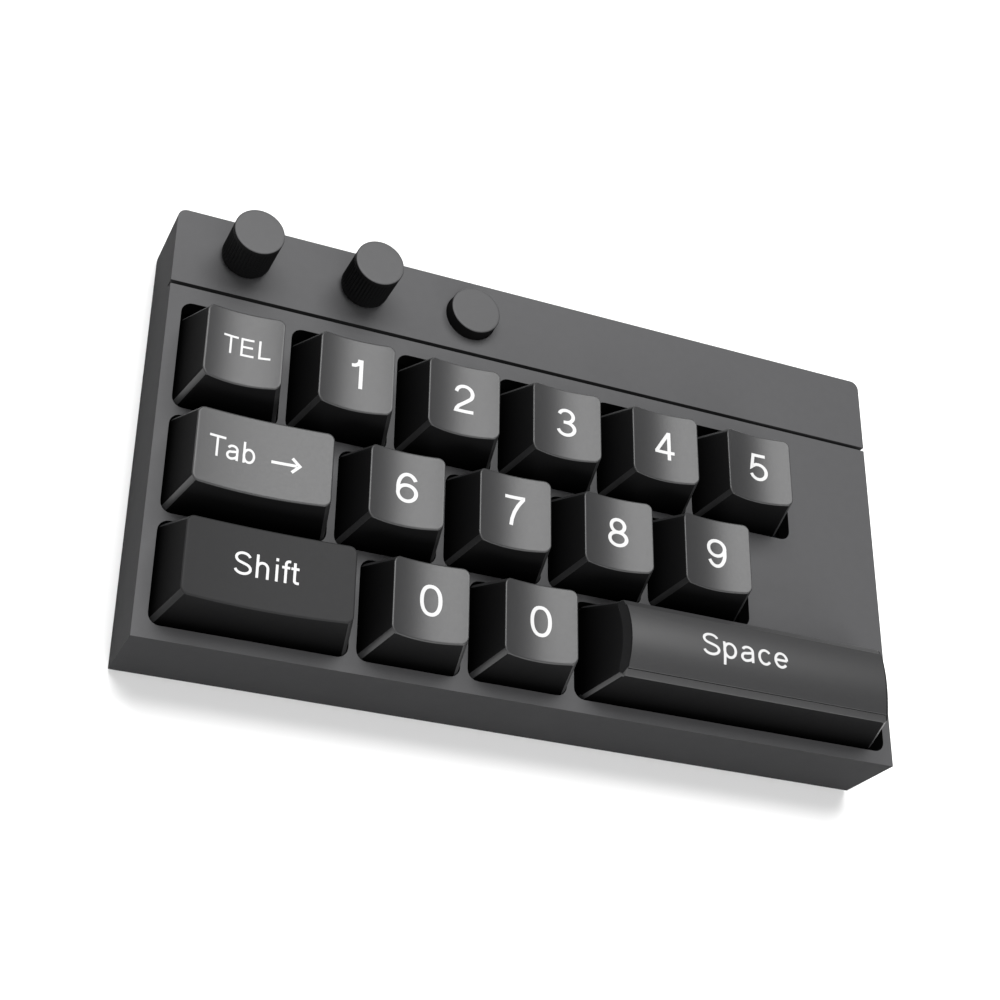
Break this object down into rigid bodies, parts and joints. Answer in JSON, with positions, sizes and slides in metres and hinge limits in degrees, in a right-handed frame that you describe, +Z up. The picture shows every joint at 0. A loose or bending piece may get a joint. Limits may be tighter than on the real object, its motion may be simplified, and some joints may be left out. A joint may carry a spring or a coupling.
{
  "type": "numeric keypad",
  "caption": "Slab-shaped desk keypad with sculpted sprung keys in three staggered rows, and a rear control strip with knurled push knobs and a low round button.",
  "frame": {"origin": "centre of the footprint, on the table under the rubber feet", "axes": "+X to the right along the key rows, +Y towards the back edge with the control strip, +Z up"},
  "size_m": [0.136, 0.0788, 0.0264],
  "materials": {
    "case_plastic": "fine matt moulded texture, satin sheen",
    "keycap_plastic": "satin PBT with very fine grain",
    "knob_plastic": "fluted sides, smooth satin top",
    "base_plastic": "moulded texture",
    "rubber": "matt",
    "screw_steel": "zinc plated",
    "plate_metal": "black powder coat",
    "board": "solder mask over glass fibre",
    "switch_black": "moulded nylon",
    "stem_brown": "moulded acetal",
    "spring_steel": "plated spring wire",
    "insert_white": "moulded acetal",
    "wire_steel": "drawn wire",
    "shell_metal": "nickel plated",
    "battery_foil": "laminated foil pouch",
    "lead_insulation": "PVC insulation",
    "chip": "moulded epoxy"
  },
  "bodies": {
    "root": {"upper_case": "case_plastic", "control_panel": "case_plastic", "base_plate": "base_plastic", "case_screws": "screw_steel", "rubber_feet": "rubber", "switch_plate": "plate_metal", "circuit_board": "board", "switch_lower_housings": "switch_black", "switch_upper_housings": "switch_black", "switch_springs": "spring_steel", "stabilizer_housings": "switch_black", "encoder_housings": "shell_metal", "button_switch": "shell_metal", "usb_socket": "shell_metal", "power_switch": "shell_metal", "battery_cell": "battery_foil", "battery_leads": "lead_insulation", "controller_chip": "chip", "key_diodes": "chip"},
    "key_tel": {"cap_tel": "keycap_plastic", "stem_tel": "stem_brown"},
    "key_1": {"cap_1": "keycap_plastic", "stem_1": "stem_brown"},
    "key_2": {"cap_2": "keycap_plastic", "stem_2": "stem_brown"},
    "key_3": {"cap_3": "keycap_plastic", "stem_3": "stem_brown"},
    "key_4": {"cap_4": "keycap_plastic", "stem_4": "stem_brown"},
    "key_5": {"cap_5": "keycap_plastic", "stem_5": "stem_brown"},
    "key_tab": {"cap_tab": "keycap_plastic", "stem_tab": "stem_brown"},
    "key_6": {"cap_6": "keycap_plastic", "stem_6": "stem_brown"},
    "key_7": {"cap_7": "keycap_plastic", "stem_7": "stem_brown"},
    "key_8": {"cap_8": "keycap_plastic", "stem_8": "stem_brown"},
    "key_9": {"cap_9": "keycap_plastic", "stem_9": "stem_brown"},
    "key_shift": {"cap_shift": "keycap_plastic", "stem_shift": "stem_brown"},
    "key_0_left": {"cap_0_left": "keycap_plastic", "stem_0_left": "stem_brown"},
    "key_0_right": {"cap_0_right": "keycap_plastic", "stem_0_right": "stem_brown"},
    "key_space": {"cap_space": "keycap_plastic", "stem_space": "stem_brown", "stabilizer_inserts": "insert_white"},
    "space_wire": {"stabilizer_wire": "wire_steel"},
    "encoder_left": {"encoder_rotor_left": "insert_white"},
    "dial_left": {"encoder_shaft_left": "shell_metal", "knob_left": "knob_plastic"},
    "encoder_right": {"encoder_rotor_right": "insert_white"},
    "dial_right": {"encoder_shaft_right": "shell_metal", "knob_right": "knob_plastic"},
    "button": {"round_button": "case_plastic", "button_plunger": "insert_white"},
    "power": {"power_slider": "switch_black"}
  },
  "joints": [
    {"name": "key_tel_press", "type": "slide", "parent": "root", "child": "key_tel", "axis": [0, 0, 1], "range_m": [-0.003, 0], "stiffness_N_per_m": 100, "springref_m": 0.0035, "deforming": ["switch_springs"]},
    {"name": "key_1_press", "type": "slide", "parent": "root", "child": "key_1", "axis": [0, 0, 1], "range_m": [-0.003, 0], "stiffness_N_per_m": 100, "springref_m": 0.0035, "deforming": ["switch_springs"]},
    {"name": "key_2_press", "type": "slide", "parent": "root", "child": "key_2", "axis": [0, 0, 1], "range_m": [-0.003, 0], "stiffness_N_per_m": 100, "springref_m": 0.0035, "deforming": ["switch_springs"]},
    {"name": "key_3_press", "type": "slide", "parent": "root", "child": "key_3", "axis": [0, 0, 1], "range_m": [-0.003, 0], "stiffness_N_per_m": 100, "springref_m": 0.0035, "deforming": ["switch_springs"]},
    {"name": "key_4_press", "type": "slide", "parent": "root", "child": "key_4", "axis": [0, 0, 1], "range_m": [-0.003, 0], "stiffness_N_per_m": 100, "springref_m": 0.0035, "deforming": ["switch_springs"]},
    {"name": "key_5_press", "type": "slide", "parent": "root", "child": "key_5", "axis": [0, 0, 1], "range_m": [-0.003, 0], "stiffness_N_per_m": 100, "springref_m": 0.0035, "deforming": ["switch_springs"]},
    {"name": "key_tab_press", "type": "slide", "parent": "root", "child": "key_tab", "axis": [0, 0, 1], "range_m": [-0.003, 0], "stiffness_N_per_m": 100, "springref_m": 0.0035, "deforming": ["switch_springs"]},
    {"name": "key_6_press", "type": "slide", "parent": "root", "child": "key_6", "axis": [0, 0, 1], "range_m": [-0.003, 0], "stiffness_N_per_m": 100, "springref_m": 0.0035, "deforming": ["switch_springs"]},
    {"name": "key_7_press", "type": "slide", "parent": "root", "child": "key_7", "axis": [0, 0, 1], "range_m": [-0.003, 0], "stiffness_N_per_m": 100, "springref_m": 0.0035, "deforming": ["switch_springs"]},
    {"name": "key_8_press", "type": "slide", "parent": "root", "child": "key_8", "axis": [0, 0, 1], "range_m": [-0.003, 0], "stiffness_N_per_m": 100, "springref_m": 0.0035, "deforming": ["switch_springs"]},
    {"name": "key_9_press", "type": "slide", "parent": "root", "child": "key_9", "axis": [0, 0, 1], "range_m": [-0.003, 0], "stiffness_N_per_m": 100, "springref_m": 0.0035, "deforming": ["switch_springs"]},
    {"name": "key_shift_press", "type": "slide", "parent": "root", "child": "key_shift", "axis": [0, 0, 1], "range_m": [-0.003, 0], "stiffness_N_per_m": 100, "springref_m": 0.0035, "deforming": ["switch_springs"]},
    {"name": "key_0_left_press", "type": "slide", "parent": "root", "child": "key_0_left", "axis": [0, 0, 1], "range_m": [-0.003, 0], "stiffness_N_per_m": 100, "springref_m": 0.0035, "deforming": ["switch_springs"]},
    {"name": "key_0_right_press", "type": "slide", "parent": "root", "child": "key_0_right", "axis": [0, 0, 1], "range_m": [-0.003, 0], "stiffness_N_per_m": 100, "springref_m": 0.0035, "deforming": ["switch_springs"]},
    {"name": "key_space_press", "type": "slide", "parent": "root", "child": "key_space", "axis": [0, 0, 1], "range_m": [-0.003, 0], "stiffness_N_per_m": 100, "springref_m": 0.0035, "deforming": ["switch_springs"]},
    {"name": "space_wire_turn", "type": "hinge", "parent": "root", "child": "space_wire", "pos_m": [0.0355, -0.01995, 0.00835], "axis": [1, 0, 0], "range_deg": [0, 25.2]},
    {"name": "knob_left_turn", "type": "hinge", "parent": "root", "child": "encoder_left", "pos_m": [-0.0559, 0.0322, 0.006], "axis": [0, 0, 1], "continuous": true},
    {"name": "knob_left_press", "type": "slide", "parent": "encoder_left", "child": "dial_left", "axis": [0, 0, 1], "range_m": [-0.0005, 0], "stiffness_N_per_m": 1000, "springref_m": 0.002},
    {"name": "knob_right_turn", "type": "hinge", "parent": "root", "child": "encoder_right", "pos_m": [-0.0346, 0.0322, 0.006], "axis": [0, 0, 1], "continuous": true},
    {"name": "knob_right_press", "type": "slide", "parent": "encoder_right", "child": "dial_right", "axis": [0, 0, 1], "range_m": [-0.0005, 0], "stiffness_N_per_m": 1000, "springref_m": 0.002},
    {"name": "button_press", "type": "slide", "parent": "root", "child": "button", "axis": [0, 0, 1], "range_m": [-0.0005, 0], "stiffness_N_per_m": 1000, "springref_m": 0.0015},
    {"name": "power_slide", "type": "slide", "parent": "root", "child": "power", "axis": [1, 0, 0], "range_m": [0, 0.002]}
  ],
  "couplings": [
    {"joint": "space_wire_turn", "follows": "key_space_press", "rad_per_m": -146.09}
  ]
}
